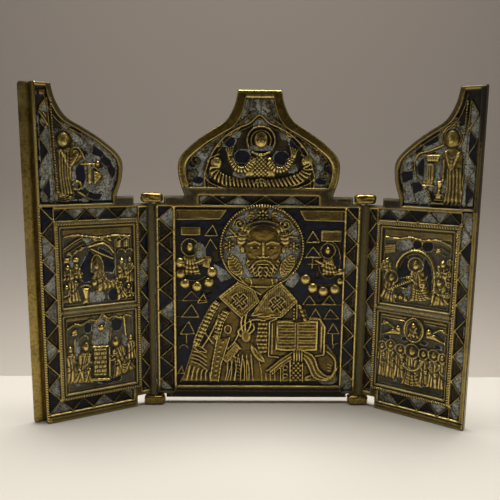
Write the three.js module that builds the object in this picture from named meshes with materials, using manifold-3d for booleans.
// Folding travel icon: a cast brass triptych with champleve enamel.
//
// The centre leaf carries four brazed lugs. A pin in each lug runs into the end of a barrel on
// the inner edge of a wing, so both wings swing on upright axes. They close face to face over the
// centre leaf, and the lip on the left wing then covers the right wing's closing edge.
//
// Every leaf is drawn in its own frame: x across, z up from the centre leaf's lower edge, and y
// as the depth behind the rim's face. On a wing, x is counted from the hinge axis.

import * as THREE from 'three';
import { mergeVertices } from 'three/addons/utils/BufferGeometryUtils.js';
import Module from 'manifold-3d';

const wasm = await Module();
wasm.setup();

// Driving sizes of the leaves, in millimetres

const LEAF_THICKNESS = 4;
const RECESS_DEPTH = 2.4;
const EDGE_BEVEL = 0.5;
const CENTRE_HALF_WIDTH = 45.8;
const BODY_HEIGHT = 94;
const DOME_HEIGHT = 46;
const CENTRE_LIFT = 2.8;
const DOME_SHOULDER = 9.9;
const CENTRE_NECK_HALF_WIDTH = 9.5;
const LEFT_NECK_WIDTH = 7.2;
const RIGHT_NECK_WIDTH = 10;

// Driving sizes of the hinges

const HINGE_GAP = 2;
const AXIS_FORWARD = 0.5;
const BARREL_RADIUS = 1.4;
const PIN_RADIUS = 0.6;
const PIN_CLEARANCE = 0.25;
const PIN_REACH = 7;
const PIN_SETBACK = 0.3;
const LUG_LENGTH = 10;
const LUG_HEIGHT = 4.6;
const LUG_DEPTH = 5.8;
const LUG_FORWARD = 2.4;
const LUG_INSET = 0.4;
const LUG_RISE = 1.5;
const LUG_BEVEL = 0.8;
const HINGE_CLEARANCE = 0.3;
const LUG_SWING_ROOM = 1.9;
const WING_INNER_REACH = 0.9;
const CLOSING_GAP = 0.4;

// Driving sizes of the closing lip on the left wing's back

const LIP_OVERHANG = 5;
const LIP_SEAT = 2.6;
const LIP_THICKNESS = 2.2;
const LIP_CLEARANCE = 0.3;

// Wing angles from the flat, open position, as the icon stands

const LEFT_TOE_IN = THREE.MathUtils.degToRad(28);
const RIGHT_TOE_IN = THREE.MathUtils.degToRad(36);

// Driving sizes of the rims, frames and enamel

const CENTRE_FOOT_RIM = 3.2;
const CENTRE_SIDE_RIM = 1.2;
const CENTRE_BORDER_WIDTH = 6.4;
const CENTRE_DOME_RIM = 3.2;
const DOME_FOOT_RIM = 3;
const TOP_BORDER_HEIGHT = 3.8;
const TOP_BORDER_HALF_WIDTH = 24;
const TOP_BORDER_RIM = 0.9;
const WING_FOOT_RIM = 3.9;
const WING_RIM = 2;
const WING_BORDER_WIDTH = 4.6;
const WING_TOP_BORDER_HEIGHT = 5.4;
const WING_CROSSBAR = 1.4;
const FRAME_WIDTH = 0.8;
const FRAME_TOP = 0.4;
const SCENE_MARGIN = 2.4;
const SCENE_DIVIDER = 3.4;
const SCENE_FRAME_TOP = 0.7;
const RIB_WIDTH = 0.7;
const RIB_TOP = 0.9;
const RIB_PITCH = 5.4;
const CELL_PASS = 0.9;
const GLASS_GAP = 0.3;
const GLASS_TOP = 1.3;

// Depths of the cast relief, counted from the rim's face

const ORNAMENT_TOP = 0.9;
const NIMBUS_TOP = 1.1;
const ROBE_TOP = 0.8;
const DETAIL_TOP = 0.5;
const HEAD_TOP = 0.4;
const ROOT = 0.4;
const OVERRUN = 1;

// How finely curves are cut

const DOME_STEPS = 14;
const ROUND_SIDES = 12;
const RING_SIDES = 28;
const MOUND_STEPS = 2;
const MOUND_SIDES = 8;
const SCROLL_STEPS = 5;
const LIP_STEPS = 8;
const HEAD_SIDES = 18;

// Brass and glass

const BRASS = { color: 0x8a6a2c, roughness: 0.42, metalness: 1 };
const WORN_BRASS = { color: 0x96783c, roughness: 0.38, metalness: 1 };
const WHITE_GLASS = { color: 0x9fa39a, roughness: 0.4, metalness: 0 };
const BLUE_GLASS = { color: 0x14192c, roughness: 0.25, metalness: 0 };

// Small vector and solid helpers

const toVector = ([x, z]) => new THREE.Vector2(x, z);
const between = (from, to, share) => from + (to - from) * share;

function solid(geometry) {
  geometry.deleteAttribute('normal');
  geometry.deleteAttribute('uv');
  const merged = mergeVertices(geometry);
  const corners = merged.index.array;
  const kept = [];
  for (let i = 0; i < corners.length; i += 3) {
    const [a, b, c] = corners.slice(i, i + 3);
    if (a !== b && b !== c && c !== a) {
      kept.push(a, b, c);
    }
  }
  return new wasm.Manifold(new wasm.Mesh({
    numProp: 3,
    vertProperties: merged.attributes.position.array,
    triVerts: new Uint32Array(kept),
  }));
}

// A plate of the given outline, from depth top (towards the viewer) to depth bottom.
function slab(outline, top, bottom, bevel = 0) {
  const geometry = new THREE.ExtrudeGeometry(new THREE.Shape(outline.map(toVector)), {
    depth: bottom - top - bevel * 2,
    bevelEnabled: bevel > 0,
    bevelThickness: bevel,
    bevelSize: bevel,
    bevelOffset: -bevel,
    bevelSegments: 1,
    steps: 1,
  });
  geometry.rotateX(Math.PI / 2);
  geometry.translate(0, bottom - bevel, 0);
  return solid(geometry);
}

// An upright round bar, from height low to height high.
function uprightBar(x, y, radius, low, high) {
  const geometry = new THREE.CylinderGeometry(radius, radius, high - low, ROUND_SIDES);
  geometry.rotateX(Math.PI / 2);
  geometry.translate(x, y, (low + high) / 2);
  return solid(geometry);
}

function joined(solids) {
  return solids.reduce((sum, next) => sum.add(next));
}

// Outlines, as lists of [x, z]

function box(left, right, low, high) {
  return [[left, low], [right, low], [right, high], [left, high]];
}

function disc([x, z], halfWidth, halfHeight = halfWidth, sides = ROUND_SIDES) {
  const outline = [];
  for (let i = 0; i < sides; i += 1) {
    const turn = (i / sides) * Math.PI * 2;
    outline.push([x + Math.cos(turn) * halfWidth, z + Math.sin(turn) * halfHeight]);
  }
  return outline;
}

function smooth(points, steps) {
  return new THREE.SplineCurve(points.map(toVector)).getPoints(steps).map(({ x, y }) => [x, y]);
}

// The outline pushed outwards by a distance, or inwards by a negative one, with mitred corners.
function grown(outline, by) {
  const way = Math.sign(THREE.ShapeUtils.area(outline.map(toVector))) * by;
  const count = outline.length;
  const normal = (from, to) => {
    const along = [to[0] - from[0], to[1] - from[1]];
    const length = Math.hypot(...along);
    return [along[1] / length, -along[0] / length];
  };
  return outline.map((point, i) => {
    const a = normal(outline[(i + count - 1) % count], point);
    const b = normal(point, outline[(i + 1) % count]);
    const reach = way / Math.max(1 + a[0] * b[0] + a[1] * b[1], 0.5);
    return [point[0] + (a[0] + b[0]) * reach, point[1] + (a[1] + b[1]) * reach];
  });
}

// A ribbon of even width along a path, with mitred bends and square ends.
function band(path, width) {
  const out = path.map((point, i) => {
    const before = path[Math.max(i - 1, 0)];
    const after = path[Math.min(i + 1, path.length - 1)];
    const unit = (from, to) => {
      const length = Math.hypot(to[0] - from[0], to[1] - from[1]) || 1;
      return [(to[0] - from[0]) / length, (to[1] - from[1]) / length];
    };
    const a = unit(before, point);
    const b = unit(point, after);
    const bend = Math.max(1 + a[0] * b[0] + a[1] * b[1], 1);
    const end = i === 0 || i === path.length - 1;
    const reach = width / 2 / (end ? 1 : bend);
    return [(-a[1] - b[1]) * reach, (a[0] + b[0]) * reach];
  });
  const left = path.map(([x, z], i) => [x + out[i][0], z + out[i][1]]);
  const right = path.map(([x, z], i) => [x - out[i][0], z - out[i][1]]);
  return [...left, ...right.reverse()];
}

function arc([x, z], radius, from, to, steps) {
  const path = [];
  for (let i = 0; i <= steps; i += 1) {
    const turn = between(from, to, i / steps);
    path.push([x + Math.cos(turn) * radius, z + Math.sin(turn) * radius]);
  }
  return path;
}

// The zigzag rib of a border, which leaves a narrow way round each tip for the glass.
function zigzag(left, right, low, high) {
  const upright = high - low > right - left;
  const [start, end] = upright ? [low, high] : [left, right];
  const [near, far] = upright ? [left, right] : [low, high];
  const count = Math.max(Math.round((end - start) / RIB_PITCH), 2);
  const path = [];
  for (let i = 0; i <= count; i += 1) {
    const along = between(start + CELL_PASS * 2, end - CELL_PASS * 2, i / count);
    const across = i % 2 ? far - CELL_PASS - RIB_WIDTH / 2 : near + CELL_PASS + RIB_WIDTH / 2;
    path.push(upright ? [across, along] : [along, across]);
  }
  return band(path, RIB_WIDTH);
}

// Relief pieces, each an outline with the depth of its top face

const raised = (outline, top, bevel = 0) => ({
  outline,
  body: () => slab(outline, top, RECESS_DEPTH + ROOT, bevel),
});

// A rounded swelling, such as a head or a cloud.
function mound(centre, halfWidth, halfHeight, top, sides = MOUND_SIDES) {
  const rise = RECESS_DEPTH - top;
  const profile = [[0, -ROOT], [1, -ROOT]];
  for (let i = 0; i < MOUND_STEPS; i += 1) {
    const turn = (i / MOUND_STEPS) * (Math.PI / 2);
    profile.push([Math.cos(turn), Math.sin(turn) * rise]);
  }
  profile.push([0, rise]);
  return {
    outline: disc(centre, halfWidth, halfHeight, sides),
    body: () => {
      const geometry = new THREE.LatheGeometry(profile.map(toVector), sides);
      geometry.rotateX(Math.PI);
      geometry.scale(halfWidth, 1, halfHeight);
      geometry.translate(centre[0], RECESS_DEPTH, centre[1]);
      return solid(geometry);
    },
  };
}

// A standing frame that follows an outline from the inside.
function frame(outline, width, top) {
  const hole = grown(outline, -width);
  return {
    outline,
    hole,
    body: () => slab(outline, top, RECESS_DEPTH + ROOT).subtract(
      slab(hole, top - OVERRUN, RECESS_DEPTH + ROOT + OVERRUN),
    ),
  };
}

const ring = (centre, radius, width, top, sides = ROUND_SIDES) => (
  frame(disc(centre, radius, radius, sides), width, top)
);

// The room that a relief piece takes out of the glass round it.
function clearing({ outline, hole }) {
  const room = slab(grown(outline, GLASS_GAP), -OVERRUN, LEAF_THICKNESS);
  if (!hole) {
    return room;
  }
  return room.subtract(slab(grown(hole, -GLASS_GAP), -OVERRUN * 2, LEAF_THICKNESS + OVERRUN));
}

// The part that several plates of the same depth share.
function shared(outlines, top, bottom) {
  return outlines
    .map((outline) => slab(outline, top, bottom))
    .reduce((whole, next) => whole.intersect(next));
}

// Glass fused into the region that lies inside all the given outlines. A pool that the metal
// cuts off from the rest stays bare, as the cells that have lost their enamel are.
function glassFill(region, reliefs) {
  const inset = region.map((outline) => grown(outline, -GLASS_GAP));
  let glass = shared(inset, GLASS_TOP, RECESS_DEPTH - GLASS_GAP);
  for (const relief of reliefs) {
    glass = glass.subtract(clearing(relief));
  }
  const pools = glass.decompose();
  pools.sort((a, b) => b.volume() - a.volume());
  return pools[0];
}

// A leaf as cast: a plate with sunk fields, and the reliefs that stand up from their floors.
// Each recess is a list of outlines, and lies inside all of them.
function castLeaf(outline, recesses, reliefs) {
  const plate = slab(outline, 0, LEAF_THICKNESS, EDGE_BEVEL);
  const sunk = recesses.reduce(
    (rest, recess) => rest.subtract(shared(recess, -OVERRUN, RECESS_DEPTH)),
    plate,
  );
  return joined([sunk, ...reliefs.map((relief) => relief.body())]);
}

const LEAF_HEIGHT = BODY_HEIGHT + DOME_HEIGHT;
const DOME_HALF_WIDTH = CENTRE_HALF_WIDTH - DOME_SHOULDER;
const HINGE_OFFSET = CENTRE_HALF_WIDTH + HINGE_GAP;

// The side of a dome, from its foot on the body to its neck. Each row gives a share of the way
// from the neck's half width to the dome's, and a share of the dome's height.
const DOME_SIDE_SHARES = [
  [0.89, 0], [0.985, 0.19], [0.965, 0.36], [0.72, 0.51], [0.45, 0.62], [0.19, 0.72],
  [0.055, 0.86], [0, 1],
];

// With a rim given, it is the line that the rim follows inside the dome.
function domeSide(neck, rim = 0) {
  const points = DOME_SIDE_SHARES.map(([wide, high]) => [
    between(neck, DOME_HALF_WIDTH, wide) - rim,
    between(BODY_HEIGHT, LEAF_HEIGHT - rim, high),
  ]);
  return smooth(points, DOME_STEPS);
}

// Where the lugs sit, above and below the leaves' corners

const LUG_INNER = HINGE_OFFSET - LUG_INSET - LUG_LENGTH / 2;
const LUG_CENTRE = HINGE_OFFSET - LUG_INSET;
const LOWER_LUG_TOP = LUG_HEIGHT - CENTRE_LIFT;
const LOWER_NOTCH = LOWER_LUG_TOP + HINGE_CLEARANCE;
const UPPER_LUG_LOW = BODY_HEIGHT + LUG_RISE - LUG_HEIGHT;
const UPPER_NOTCH = UPPER_LUG_LOW - HINGE_CLEARANCE;
const CENTRE_NOTCH = LUG_INNER - HINGE_CLEARANCE;
const WING_NOTCH = LUG_LENGTH / 2 + LUG_INSET + LUG_SWING_ROOM;

// Centre leaf: outline and recesses

const centreSide = domeSide(CENTRE_NECK_HALF_WIDTH);
const centreRight = [
  [CENTRE_NOTCH, 0],
  [CENTRE_NOTCH, LOWER_LUG_TOP],
  [CENTRE_HALF_WIDTH, LOWER_LUG_TOP],
  [CENTRE_HALF_WIDTH, UPPER_LUG_LOW],
  [CENTRE_NOTCH, UPPER_LUG_LOW],
  [CENTRE_NOTCH, BODY_HEIGHT],
  ...centreSide,
];
const mirrored = (points) => points.map(([x, z]) => [-x, z]).reverse();
const centreOutline = [...centreRight, ...mirrored(centreRight)];

const borderOuter = CENTRE_HALF_WIDTH - CENTRE_SIDE_RIM;
const borderInner = borderOuter - CENTRE_BORDER_WIDTH;
const panelHalf = borderInner - FRAME_WIDTH;
const topBorderLow = BODY_HEIGHT - TOP_BORDER_HEIGHT;
const fieldHigh = topBorderLow - TOP_BORDER_RIM;
const topBorder = box(-TOP_BORDER_HALF_WIDTH, TOP_BORDER_HALF_WIDTH, topBorderLow, BODY_HEIGHT);

const domeFloorLow = BODY_HEIGHT + DOME_FOOT_RIM;
const domeInside = domeSide(CENTRE_NECK_HALF_WIDTH, CENTRE_DOME_RIM);
const domeField = [
  box(-CENTRE_HALF_WIDTH, CENTRE_HALF_WIDTH, domeFloorLow, LEAF_HEIGHT),
  [...domeInside, ...mirrored(domeInside)],
];

// The panel's own measure: shares of its width and height give places on it.
const panelLow = CENTRE_FOOT_RIM + CENTRE_FOOT_RIM / 2;
const panelHigh = fieldHigh;
const panelWidth = panelHalf * 2;
const onPanel = ([u, v]) => [
  between(-panelHalf, panelHalf, u),
  between(panelLow, panelHigh, v),
];

// The large half figure in its robe, read from the left hem round to the right one
const ROBE_SHARES = [
  [0.02, -0.02], [0.035, 0.06], [0.063, 0.14], [0.095, 0.21], [0.12, 0.28], [0.156, 0.37],
  [0.213, 0.465], [0.255, 0.51], [0.38, 0.59], [0.625, 0.59], [0.735, 0.49], [0.773, 0.455],
  [0.785, 0.38], [0.91, 0.34], [0.915, 0.2], [0.975, 0.17], [0.985, 0.1], [0.935, 0.04],
  [0.945, -0.02],
];
const STOLE_LEFT_SHARES = [[0.372, 0.593], [0.253, 0.509], [0.4, 0.375], [0.515, 0.475]];
const STOLE_RIGHT_SHARES = [[0.63, 0.595], [0.733, 0.491], [0.63, 0.395], [0.49, 0.475]];
const COVER_SHARES = [[0.563, 0.385], [0.885, 0.395], [0.91, 0.365], [0.912, 0.18], [0.567, 0.17]];
const PAGE_SHARES = [[0.608, 0.385], [0.868, 0.385], [0.864, 0.214], [0.606, 0.21]];
const PALM_SHARES = [
  [0.375, 0.2], [0.36, 0.23], [0.385, 0.28], [0.385, 0.34], [0.416, 0.375], [0.46, 0.37],
  [0.468, 0.305], [0.44, 0.25], [0.41, 0.2],
];
const CUFF_SHARES = [[0.298, 0.176], [0.37, 0.24], [0.405, 0.2], [0.33, 0.135]];
const CLOTH_PATH_SHARES = [
  [0.79, 0.17], [0.845, 0.13], [0.88, 0.085], [0.925, 0.065], [0.96, 0.1], [0.955, 0.15],
];
const SLEEVE_FOLD_SHARES = [[[0.47, 0.2], [0.53, 0.02]], [[0.35, 0.28], [0.27, 0.0]]];
const CROSS_SHARES = [[0.385, 0.486], [0.612, 0.482]];
const HALO_CENTRE_SHARES = [0.512, 0.783];
const HALO_RING_SHARE = 0.08;
const ROSETTE_COUNT = 5;
const ROSETTE_RADIUS_SHARE = 0.07;
const ROSETTE_RING_SHARE = 0.82;
const CROSS_SIZE_SHARE = 0.12;

// The head, in shares of the halo's radius from its centre
const HEAD_CENTRE_SHARES = [-0.09, -0.15];
const HEAD_SIZE_SHARES = [0.4, 0.46];
const HAIR_SIZE_SHARES = [0.53, 0.49];
const BEARD_CENTRE_SHARES = [-0.09, -0.6];
const BEARD_SIZE_SHARES = [0.31, 0.3];
const NOSE_SHARES = [[-0.09, -0.06], [-0.09, -0.3]];
const BROW_SHARES = [[-0.3, -0.04], [0.12, -0.04]];
const ATTENDANT_SHARES = [
  [[0.045, 0.66], [0.06, 0.745], [0.12, 0.745], [0.165, 0.725], [0.225, 0.745], [0.225, 0.69],
    [0.165, 0.67], [0.155, 0.61], [0.055, 0.605]],
  [[0.845, 0.68], [0.87, 0.715], [0.9, 0.73], [0.94, 0.725], [0.975, 0.69], [0.98, 0.63],
    [0.96, 0.585], [0.865, 0.585], [0.845, 0.635]],
];
const ATTENDANT_HEAD_SHARES = [[0.088, 0.772], [0.912, 0.755]];
const NIMBUS_RADIUS_SHARE = 0.05;
const ATTENDANT_HEAD_RADIUS_SHARE = 0.024;
const CLOUD_SHARES = [
  [0.035, 0.575], [0.05, 0.545], [0.12, 0.55], [0.2, 0.575], [0.225, 0.635],
  [0.775, 0.61], [0.815, 0.56], [0.885, 0.54], [0.955, 0.55], [0.97, 0.59],
];
const CLOUD_RADIUS_SHARE = 0.026;
const PLAQUE_SHARES = [
  [[0.01, 0.905], [0.235, 0.905], [0.29, 0.955], [0.01, 0.955]],
  [[0.99, 0.905], [0.77, 0.905], [0.73, 0.955], [0.99, 0.955]],
  [[0.035, 0.83], [0.14, 0.83], [0.14, 0.875], [0.035, 0.875]],
  [[0.965, 0.83], [0.86, 0.83], [0.86, 0.875], [0.965, 0.875]],
];
const TRIANGLE_SHARES = [
  [0.205, 0.855], [0.205, 0.785], [0.085, 0.475], [0.18, 0.47], [0.085, 0.4],
  [0.805, 0.85], [0.815, 0.77], [0.82, 0.485], [0.935, 0.485], [0.845, 0.415], [0.94, 0.415],
];
const TRIANGLE_SIZE_SHARE = 0.06;

const onPanelAll = (shares) => shares.map(onPanel);
const panelSize = (share) => panelWidth * share;

function crossBars([x, z], size) {
  const half = size / 2;
  const slant = half * Math.SQRT1_2;
  return [
    raised(band([[x - slant, z - slant], [x + slant, z + slant]], RIB_WIDTH * 2), FRAME_TOP),
    raised(band([[x - slant, z + slant], [x + slant, z - slant]], RIB_WIDTH * 2), FRAME_TOP),
  ];
}

// The halo reaches from its centre up into the rim under the top border.
const haloCentre = onPanel(HALO_CENTRE_SHARES);
const haloRadius = fieldHigh + TOP_BORDER_RIM / 2 - haloCentre[1];
const inHalo = ([u, v]) => [haloCentre[0] + u * haloRadius, haloCentre[1] + v * haloRadius];
const haloSize = (share) => haloRadius * share;

function centreFigure() {
  const rosetteSize = haloSize(ROSETTE_RADIUS_SHARE);
  const rosettes = arc(haloCentre, haloSize(ROSETTE_RING_SHARE), 0, Math.PI, ROSETTE_COUNT - 1)
    .map((place) => mound(place, rosetteSize, rosetteSize, DETAIL_TOP));
  return [
    ring(haloCentre, haloRadius, haloSize(HALO_RING_SHARE), FRAME_TOP, RING_SIDES),
    ...rosettes,
    mound(inHalo(HEAD_CENTRE_SHARES), ...HAIR_SIZE_SHARES.map(haloSize), NIMBUS_TOP, HEAD_SIDES),
    mound(inHalo(HEAD_CENTRE_SHARES), ...HEAD_SIZE_SHARES.map(haloSize), HEAD_TOP, HEAD_SIDES),
    mound(inHalo(BEARD_CENTRE_SHARES), ...BEARD_SIZE_SHARES.map(haloSize), HEAD_TOP, HEAD_SIDES),
    raised(band(NOSE_SHARES.map(inHalo), RIB_WIDTH * 2), FRAME_TOP / 2),
    raised(band(BROW_SHARES.map(inHalo), RIB_WIDTH), FRAME_TOP),
    raised(onPanelAll(ROBE_SHARES), ROBE_TOP, EDGE_BEVEL / 2),
    raised(onPanelAll(STOLE_LEFT_SHARES), DETAIL_TOP),
    raised(onPanelAll(STOLE_RIGHT_SHARES), DETAIL_TOP),
    ...CROSS_SHARES.flatMap((place) => crossBars(onPanel(place), panelSize(CROSS_SIZE_SHARE))),
    raised(onPanelAll(COVER_SHARES), DETAIL_TOP),
    raised(onPanelAll(PAGE_SHARES), FRAME_TOP / 2),
    raised(onPanelAll(PALM_SHARES), FRAME_TOP),
    raised(onPanelAll(CUFF_SHARES), DETAIL_TOP),
    raised(band(smooth(onPanelAll(CLOTH_PATH_SHARES), DOME_STEPS), RIB_WIDTH * 3), DETAIL_TOP),
    ...SLEEVE_FOLD_SHARES.map((fold) => raised(band(onPanelAll(fold), RIB_WIDTH), DETAIL_TOP)),
  ];
}

function centreAttendants() {
  return ATTENDANT_SHARES.flatMap((robe, i) => [
    ring(
      onPanel(ATTENDANT_HEAD_SHARES[i]),
      panelSize(NIMBUS_RADIUS_SHARE),
      RIB_WIDTH,
      ORNAMENT_TOP,
    ),
    mound(
      onPanel(ATTENDANT_HEAD_SHARES[i]),
      panelSize(ATTENDANT_HEAD_RADIUS_SHARE),
      panelSize(ATTENDANT_HEAD_RADIUS_SHARE),
      HEAD_TOP,
    ),
    raised(onPanelAll(robe), ROBE_TOP),
  ]);
}

function centreOrnament() {
  const size = panelSize(TRIANGLE_SIZE_SHARE) / 2;
  const triangles = TRIANGLE_SHARES.map(onPanel).map(([x, z]) => frame(
    [[x - size, z - size], [x + size, z - size], [x, z + size]],
    RIB_WIDTH,
    ORNAMENT_TOP,
  ));
  const clouds = CLOUD_SHARES.map((place) => mound(
    onPanel(place),
    panelSize(CLOUD_RADIUS_SHARE),
    panelSize(CLOUD_RADIUS_SHARE),
    DETAIL_TOP,
  ));
  const plaques = PLAQUE_SHARES.map((plaque) => raised(onPanelAll(plaque), DETAIL_TOP));
  return [...triangles, ...clouds, ...plaques];
}

function centreBorders() {
  const fieldLow = CENTRE_FOOT_RIM;
  return [-1, 1].flatMap((side) => {
    const [left, right] = [borderInner * side, borderOuter * side].sort((a, b) => a - b);
    const line = [borderInner * side, panelHalf * side].sort((a, b) => a - b);
    return [
      raised(box(...line, fieldLow - ROOT, fieldHigh + ROOT), FRAME_TOP),
      raised(zigzag(left, right, fieldLow, fieldHigh), RIB_TOP),
    ];
  }).concat([
    raised(zigzag(
      -TOP_BORDER_HALF_WIDTH,
      TOP_BORDER_HALF_WIDTH,
      topBorderLow,
      BODY_HEIGHT,
    ), RIB_TOP),
  ]);
}

// Dome of the centre leaf: a keel arch, a half figure and a crescent of cloth under its arms.
// Shares of the dome's half width and of its height inside the rim.
const ARCH_SHARES = [
  [0.71, 0.04], [0.715, 0.24], [0.65, 0.41], [0.4, 0.6], [0.24, 0.71], [0, 0.83],
];
const CRESCENT_SHARES = [[0.58, 0.33], [0.5, 0.215], [0.28, 0.135], [0, 0.12]];
const CRESCENT_WIDTH_SHARE = 0.11;
const BUST_SHARES = [
  [0.12, 0.45], [0.235, 0.27], [0.41, 0.365], [0.43, 0.31], [0.24, 0.195],
];
const BUST_HEAD_SHARES = [0, 0.545];
const BUST_HEAD_RADIUS_SHARE = 0.085;
const BUST_NIMBUS_RADIUS_SHARE = 0.15;
const DOME_SCROLL_SHARES = [[0.08, 0.92], [0.67, 0.5], [0.76, 0.38], [0.8, 0.23]];
const SCROLL_RADIUS_SHARE = 0.036;
const SCROLL_TURN_SHARE = 0.7;
const inDome = ([u, v]) => [
  DOME_HALF_WIDTH * u,
  between(BODY_HEIGHT, LEAF_HEIGHT - CENTRE_DOME_RIM, v),
];
const fullWidth = (half) => [...half, ...mirrored(half).slice(half[half.length - 1][0] ? 0 : 1)];

function centreDome() {
  const archPath = fullWidth(smooth(ARCH_SHARES.map(inDome), DOME_STEPS));
  const crescentPath = fullWidth(smooth(CRESCENT_SHARES.map(inDome), SCROLL_STEPS));
  const bust = BUST_SHARES.map(inDome);
  const span = Math.min(DOME_HALF_WIDTH, DOME_HEIGHT - CENTRE_DOME_RIM);
  const scrolls = DOME_SCROLL_SHARES.map(inDome).flatMap(([x, z]) => [-1, 1].map((side) => {
    const radius = span * SCROLL_RADIUS_SHARE;
    const turn = Math.PI * 2 * SCROLL_TURN_SHARE * side;
    const path = arc([x * side, z], radius, 0, turn, SCROLL_STEPS);
    return raised(band(path, RIB_WIDTH), ORNAMENT_TOP);
  }));
  return [
    raised(band(archPath, FRAME_WIDTH), FRAME_TOP),
    raised(band(crescentPath, DOME_HALF_WIDTH * CRESCENT_WIDTH_SHARE), DETAIL_TOP),
    raised(fullWidth(bust.reverse()), ROBE_TOP),
    ring(
      inDome(BUST_HEAD_SHARES),
      DOME_HALF_WIDTH * BUST_NIMBUS_RADIUS_SHARE,
      RIB_WIDTH,
      ORNAMENT_TOP,
    ),
    mound(
      inDome(BUST_HEAD_SHARES),
      DOME_HALF_WIDTH * BUST_HEAD_RADIUS_SHARE,
      DOME_HALF_WIDTH * BUST_HEAD_RADIUS_SHARE,
      HEAD_TOP,
    ),
    ...scrolls,
  ];
}

// Small standing figure, in shares of its own height
const GOWN_SHARES = [
  [-0.19, 0], [0.19, 0], [0.17, 0.5], [0.15, 0.68], [0.05, 0.78], [-0.05, 0.78],
  [-0.15, 0.68], [-0.17, 0.5],
];
const FACE_HEIGHT_SHARE = 0.88;
const FACE_RADIUS_SHARE = 0.1;
const SMALL_NIMBUS_SHARE = 0.15;

function smallFigure([x, z], height) {
  const gown = GOWN_SHARES.map(([u, v]) => [x + u * height, z + v * height]);
  const face = [x, z + height * FACE_HEIGHT_SHARE];
  const radius = height * FACE_RADIUS_SHARE;
  return [raised(gown, ROBE_TOP), mound(face, radius, radius, HEAD_TOP)];
}

// The height in the dome where the outer border's rib ends, as a share of the dome's height.
const RIB_END_SHARE = 0.76;

// Wings: outline, borders, two framed scenes and a half dome.
// On a wing x runs outwards from the hinge axis; side turns it to the left or to the right.

const wingEdge = HINGE_OFFSET - CLOSING_GAP / 2;
const wingLow = -CENTRE_LIFT;
const wingFieldLow = wingLow + WING_FOOT_RIM;
const crossbarLow = UPPER_NOTCH - WING_CROSSBAR / 2 - EDGE_BEVEL;
const wingFieldInner = WING_RIM - WING_INNER_REACH;
const wingFieldOuter = wingEdge - WING_RIM;
const frameInner = wingFieldInner + WING_BORDER_WIDTH;
const frameOuter = wingFieldOuter - WING_BORDER_WIDTH;
const frameLow = wingFieldLow + WING_TOP_BORDER_HEIGHT;
const frameHigh = crossbarLow - WING_TOP_BORDER_HEIGHT;
const halfDomeLow = crossbarLow + WING_CROSSBAR;
const innerRibLow = LOWER_NOTCH + WING_RIM;
const outerRibHigh = between(BODY_HEIGHT, LEAF_HEIGHT, RIB_END_SHARE);

const sceneLeft = frameInner + SCENE_MARGIN;
const sceneRight = frameOuter - SCENE_MARGIN;
const sceneMiddle = (frameLow + frameHigh) / 2;
const scenes = {
  upper: box(sceneLeft, sceneRight, sceneMiddle + SCENE_DIVIDER / 2, frameHigh - SCENE_MARGIN),
  lower: box(sceneLeft, sceneRight, frameLow + SCENE_MARGIN, sceneMiddle - SCENE_DIVIDER / 2),
};

// Small figures in a scene: shares of its width and height for the place of their feet, and a
// share of the lesser of the two for their height.
const LEFT_UPPER_SHARES = [
  [0.9, 0.42, 0.46], [0.75, 0.4, 0.48], [0.88, 0.04, 0.39], [0.52, 0.14, 0.55],
  [0.17, 0.36, 0.46], [0.1, 0.04, 0.41], [0.3, 0.06, 0.39],
];
const LEFT_LOWER_SHARES = [
  [0.9, 0.08, 0.62], [0.7, 0.06, 0.68], [0.27, 0.14, 0.6], [0.08, 0.2, 0.5],
];
const RIGHT_UPPER_SHARES = [
  [0.56, 0.06, 0.74], [0.14, 0.08, 0.52], [0.88, 0.46, 0.45], [0.86, 0.05, 0.39],
];
const RIGHT_LOWER_SHARES = [
  [0.06, 0.05, 0.54], [0.2, 0.05, 0.54], [0.35, 0.05, 0.54], [0.51, 0.05, 0.57],
  [0.67, 0.05, 0.54], [0.82, 0.05, 0.54], [0.94, 0.05, 0.54], [0.3, 0.64, 0.32], [0.72, 0.64, 0.32],
];
const ALTAR_SHARES = [[0.4, 0.1], [0.57, 0.1], [0.57, 0.54], [0.4, 0.54]];
const CANOPY_SHARES = [[0.36, 0.62], [0.62, 0.62], [0.56, 0.86], [0.49, 0.94], [0.42, 0.86]];
const ROOF_SHARES = [
  [[0.02, 0.84], [0.98, 0.84], [0.98, 0.95], [0.02, 0.95]],
  [[0.02, 0.9], [0.98, 0.9], [0.98, 0.97], [0.02, 0.97]],
];
const ARCH_CENTRE_SHARES = [0.5, 0.5];
const ARCH_RADIUS_SHARE = 0.29;
const MEDALLION_CENTRE_SHARES = [0.51, 0.8];
const MEDALLION_RADIUS_SHARE = 0.135;

function inScene(scene, [u, v]) {
  const [[left, low], , [right, high]] = scene;
  return [between(left, right, u), between(low, high, v)];
}

function sceneSize([[left, low], , [right, high]]) {
  return Math.min(right - left, high - low);
}

function sceneFigures(scene, places) {
  return places.flatMap(([u, v, size]) => (
    smallFigure(inScene(scene, [u, v]), sceneSize(scene) * size)
  ));
}

const leftScenes = () => [
  ...sceneFigures(scenes.upper, LEFT_UPPER_SHARES),
  raised(ROOF_SHARES[0].map((at) => inScene(scenes.upper, at)), ORNAMENT_TOP),
  ...sceneFigures(scenes.lower, LEFT_LOWER_SHARES),
  raised(ALTAR_SHARES.map((at) => inScene(scenes.lower, at)), ROBE_TOP),
  raised(CANOPY_SHARES.map((at) => inScene(scenes.lower, at)), ORNAMENT_TOP),
];

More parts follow.
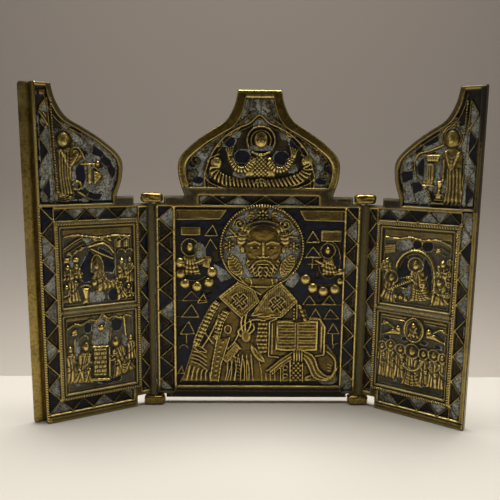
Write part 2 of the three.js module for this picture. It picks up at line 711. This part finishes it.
const rightScenes = () => {
  const centre = inScene(scenes.upper, ARCH_CENTRE_SHARES);
  const arch = arc(centre, sceneSize(scenes.upper) * ARCH_RADIUS_SHARE, 0, Math.PI, ROUND_SIDES);
  return [
    ...sceneFigures(scenes.upper, RIGHT_UPPER_SHARES),
    raised(ROOF_SHARES[1].map((at) => inScene(scenes.upper, at)), ORNAMENT_TOP),
    raised(band(arch, RIB_WIDTH), DETAIL_TOP),
    ...sceneFigures(scenes.lower, RIGHT_LOWER_SHARES),
    ring(
      inScene(scenes.lower, MEDALLION_CENTRE_SHARES),
      sceneSize(scenes.lower) * MEDALLION_RADIUS_SHARE,
      RIB_WIDTH,
      DETAIL_TOP,
    ),
  ];
};

// Half domes. Places are shares of the half dome's width, from its bulge to the outer border's
// wall, and of its height. A figure's own height is a share of that width.
const LEFT_DOME_FIGURE_SHARES = [0.83, -0.03, 0.95];
const RIGHT_DOME_FIGURE_SHARES = [0.83, -0.02, 1.05];
const LEFT_DESK_SHARES = [[0.37, -0.01], [0.62, -0.01], [0.57, 0.27], [0.34, 0.3]];
const LEFT_SEAT_SHARES = [[0.21, 0.02], [0.33, -0.02], [0.31, 0.28], [0.21, 0.22]];
const PILLAR_SHARES = [[0.5, 0.14], [0.59, 0.14], [0.59, 0.36], [0.5, 0.36]];
const CAPITAL_SHARES = [[0.47, 0.33], [0.67, 0.33], [0.67, 0.4], [0.47, 0.4]];
const STAND_SHARES = [[0.54, -0.03], [0.63, -0.03], [0.62, 0.1], [0.55, 0.1]];

const domeWall = frameOuter - FRAME_WIDTH;
const halfDomeStart = wingEdge - DOME_HALF_WIDTH;
const onHalfDome = ([u, v]) => [
  between(halfDomeStart, domeWall, u),
  between(BODY_HEIGHT, LEAF_HEIGHT, v),
];

function halfDomeFigure([u, v, size]) {
  const [x, z] = onHalfDome([u, v]);
  const height = (domeWall - halfDomeStart) * size;
  const nimbus = ring(
    [x, z + height * FACE_HEIGHT_SHARE],
    height * SMALL_NIMBUS_SHARE,
    RIB_WIDTH,
    ORNAMENT_TOP,
  );
  return [...smallFigure([x, z], height), nimbus];
}

const leftDome = () => [
  ...halfDomeFigure(LEFT_DOME_FIGURE_SHARES),
  raised(LEFT_DESK_SHARES.map(onHalfDome), ROBE_TOP),
  raised(LEFT_SEAT_SHARES.map(onHalfDome), ORNAMENT_TOP),
];

const rightDome = () => [
  ...halfDomeFigure(RIGHT_DOME_FIGURE_SHARES),
  raised(PILLAR_SHARES.map(onHalfDome), ROBE_TOP),
  raised(CAPITAL_SHARES.map(onHalfDome), ROBE_TOP),
  raised(STAND_SHARES.map(onHalfDome), ROBE_TOP),
];

// A wing's outline and its sunk fields, each a list of outlines that it lies inside.
function wingShape(neck) {
  const dome = domeSide(neck).map(([x, z]) => [wingEdge - x, z]);
  const outline = [
    [WING_NOTCH, wingLow],
    [wingEdge, wingLow],
    [wingEdge, LEAF_HEIGHT],
    ...[...dome].reverse(),
    [WING_NOTCH, BODY_HEIGHT],
    [WING_NOTCH, UPPER_NOTCH],
    [-WING_INNER_REACH, UPPER_NOTCH],
    [-WING_INNER_REACH, LOWER_NOTCH],
    [WING_NOTCH, LOWER_NOTCH],
  ];
  const inside = domeSide(neck, WING_RIM).map(([x, z]) => [wingEdge - x, z]);
  const rimLine = [
    [WING_NOTCH + WING_RIM, wingFieldLow],
    [wingFieldOuter, wingFieldLow],
    [wingFieldOuter, LEAF_HEIGHT - WING_RIM],
    ...[...inside].reverse(),
    [inside[0][0], crossbarLow],
    [wingFieldInner, crossbarLow],
    [wingFieldInner, innerRibLow],
    [WING_NOTCH + WING_RIM, innerRibLow],
  ];
  return {
    outline,
    sceneField: [box(frameInner, frameOuter, wingFieldLow, crossbarLow)],
    borderInner: [box(0, frameInner, wingFieldLow, crossbarLow), rimLine],
    borderOuter: [box(frameOuter, wingEdge, wingFieldLow, LEAF_HEIGHT), rimLine],
    halfDome: [box(0, domeWall, halfDomeLow, LEAF_HEIGHT), rimLine],
  };
}

// The frames round the scenes, and the zigzag ribs of the four borders.
function wingFrames() {
  const left = frameInner + FRAME_WIDTH;
  const right = frameOuter - FRAME_WIDTH;
  return [
    frame(box(frameInner, frameOuter, frameLow, frameHigh), FRAME_WIDTH, FRAME_TOP),
    frame(grown(scenes.upper, FRAME_WIDTH), FRAME_WIDTH, SCENE_FRAME_TOP),
    frame(grown(scenes.lower, FRAME_WIDTH), FRAME_WIDTH, SCENE_FRAME_TOP),
    raised(zigzag(frameOuter, wingFieldOuter, wingFieldLow, outerRibHigh), RIB_TOP),
    raised(zigzag(wingFieldInner, frameInner, innerRibLow, crossbarLow), RIB_TOP),
    raised(zigzag(left, right, frameHigh, crossbarLow), RIB_TOP),
    raised(zigzag(left, right, wingFieldLow, frameLow), RIB_TOP),
    ...[frameInner, right].flatMap((x) => [
      raised(box(x, x + FRAME_WIDTH, wingFieldLow - ROOT, frameLow + ROOT), FRAME_TOP),
      raised(box(x, x + FRAME_WIDTH, frameHigh - ROOT, crossbarLow + ROOT), FRAME_TOP),
    ]),
  ];
}

function closingLip() {
  const overlap = LIP_OVERHANG + LIP_SEAT;
  const centre = wingEdge + LIP_OVERHANG - overlap / 2;
  const front = LEAF_THICKNESS + LIP_CLEARANCE;
  const section = arc([0, 0], 1, 0, Math.PI, LIP_STEPS)
    .map(([u, v]) => [centre + u * overlap / 2, front + v * LIP_THICKNESS]);
  const seatLow = LEAF_THICKNESS - EDGE_BEVEL * 2;
  const seat = box(centre - overlap / 2, wingEdge, seatLow, front + LIP_THICKNESS / 4);
  const upright = (outline) => {
    const geometry = new THREE.ExtrudeGeometry(new THREE.Shape(outline.map(toVector)), {
      depth: LEAF_HEIGHT - wingLow,
      bevelEnabled: false,
      steps: 1,
    });
    geometry.translate(0, 0, wingLow);
    return solid(geometry);
  };
  return upright(section).add(upright(seat));
}

function wingBody(shape, reliefs, extras) {
  const { outline, ...fields } = shape;
  const cast = castLeaf(outline, Object.values(fields), reliefs);
  const barrel = uprightBar(0, -AXIS_FORWARD, BARREL_RADIUS, LOWER_NOTCH, UPPER_NOTCH);
  const bore = PIN_RADIUS + PIN_CLEARANCE;
  const depth = PIN_REACH + PIN_SETBACK;
  const lowerBore = uprightBar(0, -AXIS_FORWARD, bore, LOWER_NOTCH - OVERRUN, LOWER_NOTCH + depth);
  const upperBore = uprightBar(0, -AXIS_FORWARD, bore, UPPER_NOTCH - depth, UPPER_NOTCH + OVERRUN);
  return joined([cast, barrel, ...extras]).subtract(lowerBore).subtract(upperBore);
}

const wingGlass = ({ borderInner: inner, borderOuter: outer, halfDome }) => ({
  border_outer: outer,
  border_inner: inner,
  border_top: [box(frameInner + FRAME_WIDTH, frameOuter - FRAME_WIDTH, frameHigh, crossbarLow)],
  border_bottom: [box(frameInner + FRAME_WIDTH, frameOuter - FRAME_WIDTH, wingFieldLow, frameLow)],
  scene_upper: [scenes.upper],
  scene_lower: [scenes.lower],
  half_dome: halfDome,
});

// A lug: a rounded block over or under a wing's corner, with an upright bore for the pin.
function lug(low) {
  const high = low + LUG_HEIGHT;
  const middle = (low + high) / 2;
  const radius = LUG_HEIGHT / 2;
  const straight = LUG_LENGTH / 2 - radius;
  const outline = [
    ...arc([LUG_CENTRE + straight, middle], radius, -Math.PI / 2, Math.PI / 2, ROUND_SIDES / 2),
    ...arc([LUG_CENTRE - straight, middle], radius, Math.PI / 2, Math.PI * 1.5, ROUND_SIDES / 2),
  ];
  const block = slab(outline, -LUG_FORWARD, LUG_DEPTH - LUG_FORWARD, LUG_BEVEL);
  const radiusOfBore = PIN_RADIUS + PIN_CLEARANCE;
  const bore = uprightBar(HINGE_OFFSET, -AXIS_FORWARD, radiusOfBore, low - OVERRUN, high + OVERRUN);
  return block.subtract(bore);
}

function pin(low, high) {
  return uprightBar(HINGE_OFFSET, -AXIS_FORWARD, PIN_RADIUS, low, high);
}

// From solids to named meshes

function toGeometry(manifold) {
  const { vertProperties, triVerts, numProp } = manifold.getMesh();
  const geometry = new THREE.BufferGeometry();
  const positions = new Float32Array((vertProperties.length / numProp) * 3);
  for (let i = 0; i < positions.length / 3; i += 1) {
    positions.set(vertProperties.slice(i * numProp, i * numProp + 3), i * 3);
  }
  geometry.setAttribute('position', new THREE.BufferAttribute(positions, 3));
  geometry.setIndex(new THREE.BufferAttribute(new Uint32Array(triVerts), 1));
  return geometry;
}

function addMesh(group, name, manifold, finish) {
  const geometry = toGeometry(manifold);
  geometry.computeVertexNormals();
  const mesh = new THREE.Mesh(geometry, new THREE.MeshStandardMaterial({ ...finish }));
  mesh.name = name;
  group.add(mesh);
}

// A right-hand solid turned into its mirror image across the plane x = 0.
const mirrorImage = (manifold) => manifold.mirror([1, 0, 0]);

const icon = new THREE.Group();
const leaves = new THREE.Group();
leaves.position.z = CENTRE_LIFT;
icon.add(leaves);

// Centre leaf with its glass

const centreReliefs = [
  ...centreFigure(),
  ...centreAttendants(),
  ...centreOrnament(),
  ...centreBorders(),
  ...centreDome(),
];
const centreFields = {
  borderLeft: [box(-borderOuter, -borderInner, CENTRE_FOOT_RIM, fieldHigh)],
  borderRight: [box(borderInner, borderOuter, CENTRE_FOOT_RIM, fieldHigh)],
  panel: [box(-borderInner, borderInner, CENTRE_FOOT_RIM, fieldHigh)],
  borderTop: [topBorder],
  dome: domeField,
};
const centreCast = castLeaf(centreOutline, Object.values(centreFields), centreReliefs);
addMesh(leaves, 'centre_leaf', centreCast, BRASS);

const underArch = grown(fullWidth(smooth(ARCH_SHARES.map(inDome), DOME_STEPS)), -FRAME_WIDTH / 2);
const haloDisc = disc(haloCentre, haloRadius, haloRadius, RING_SIDES);
const centreGlass = [
  ['centre_glass_border_left', centreFields.borderLeft, WHITE_GLASS],
  ['centre_glass_border_right', centreFields.borderRight, WHITE_GLASS],
  ['centre_glass_border_top', centreFields.borderTop, WHITE_GLASS],
  ['centre_glass_ground_left', [box(-panelHalf, 0, CENTRE_FOOT_RIM, fieldHigh)], BLUE_GLASS],
  ['centre_glass_ground_right', [box(0, panelHalf, CENTRE_FOOT_RIM, fieldHigh)], BLUE_GLASS],
  ['centre_glass_halo', [haloDisc, ...centreFields.panel], WHITE_GLASS],
  ['centre_glass_dome_left', [underArch, box(-borderOuter, 0, domeFloorLow, LEAF_HEIGHT)], BLUE_GLASS],
  ['centre_glass_dome_right', [underArch, box(0, borderOuter, domeFloorLow, LEAF_HEIGHT)], BLUE_GLASS],
];
for (const [name, region, finish] of centreGlass) {
  addMesh(leaves, name, glassFill(region, centreReliefs), finish);
}
const domeBand = glassFill(domeField, [...centreReliefs, { outline: underArch }]);
addMesh(leaves, 'centre_glass_dome_band', domeBand, WHITE_GLASS);

// Wings, each in a group on its hinge axis

const wings = [
  {
    name: 'left',
    side: -1,
    neck: LEFT_NECK_WIDTH,
    toeIn: LEFT_TOE_IN,
    figures: [...leftScenes(), ...leftDome()],
    extras: [closingLip()],
  },
  {
    name: 'right',
    side: 1,
    neck: RIGHT_NECK_WIDTH,
    toeIn: RIGHT_TOE_IN,
    figures: [...rightScenes(), ...rightDome()],
    extras: [],
  },
];
for (const { name, side, neck, toeIn, figures, extras } of wings) {
  const wing = new THREE.Group();
  wing.position.set(HINGE_OFFSET * side, -AXIS_FORWARD, 0);
  wing.rotation.z = -toeIn * side;
  leaves.add(wing);
  const shape = wingShape(neck);
  const reliefs = [...figures, ...wingFrames()];
  const place = (manifold) => {
    const forward = manifold.translate([0, AXIS_FORWARD, 0]);
    return side < 0 ? mirrorImage(forward) : forward;
  };
  addMesh(wing, `${name}_leaf`, place(wingBody(shape, reliefs, extras)), BRASS);
  for (const [part, region] of Object.entries(wingGlass(shape))) {
    const finish = part === 'half_dome' ? BLUE_GLASS : WHITE_GLASS;
    addMesh(wing, `${name}_glass_${part}`, place(glassFill(region, reliefs)), finish);
  }
}

// Lugs and pins at the four corners of the centre leaf

for (const [corner, side] of [['left', -1], ['right', 1]]) {
  const place = (manifold) => (side < 0 ? mirrorImage(manifold) : manifold);
  const upperLow = UPPER_LUG_LOW;
  const upperHigh = upperLow + LUG_HEIGHT;
  addMesh(leaves, `hinge_lug_upper_${corner}`, place(lug(upperLow)), WORN_BRASS);
  addMesh(leaves, `hinge_lug_lower_${corner}`, place(lug(-CENTRE_LIFT)), WORN_BRASS);
  const upperPin = pin(UPPER_NOTCH - PIN_REACH, upperHigh - PIN_SETBACK);
  const lowerPin = pin(PIN_SETBACK - CENTRE_LIFT, LOWER_NOTCH + PIN_REACH);
  addMesh(leaves, `hinge_pin_upper_${corner}`, place(upperPin), WORN_BRASS);
  addMesh(leaves, `hinge_pin_lower_${corner}`, place(lowerPin), WORN_BRASS);
}

// The origin is the middle of the footprint, on the surface that the icon stands on.
icon.updateMatrixWorld(true);
const reach = new THREE.Box3().setFromObject(icon, true);
const middle = reach.getCenter(new THREE.Vector3());
icon.position.set(-middle.x, -middle.y, -reach.min.z);
icon.updateMatrixWorld(true);

export default icon;
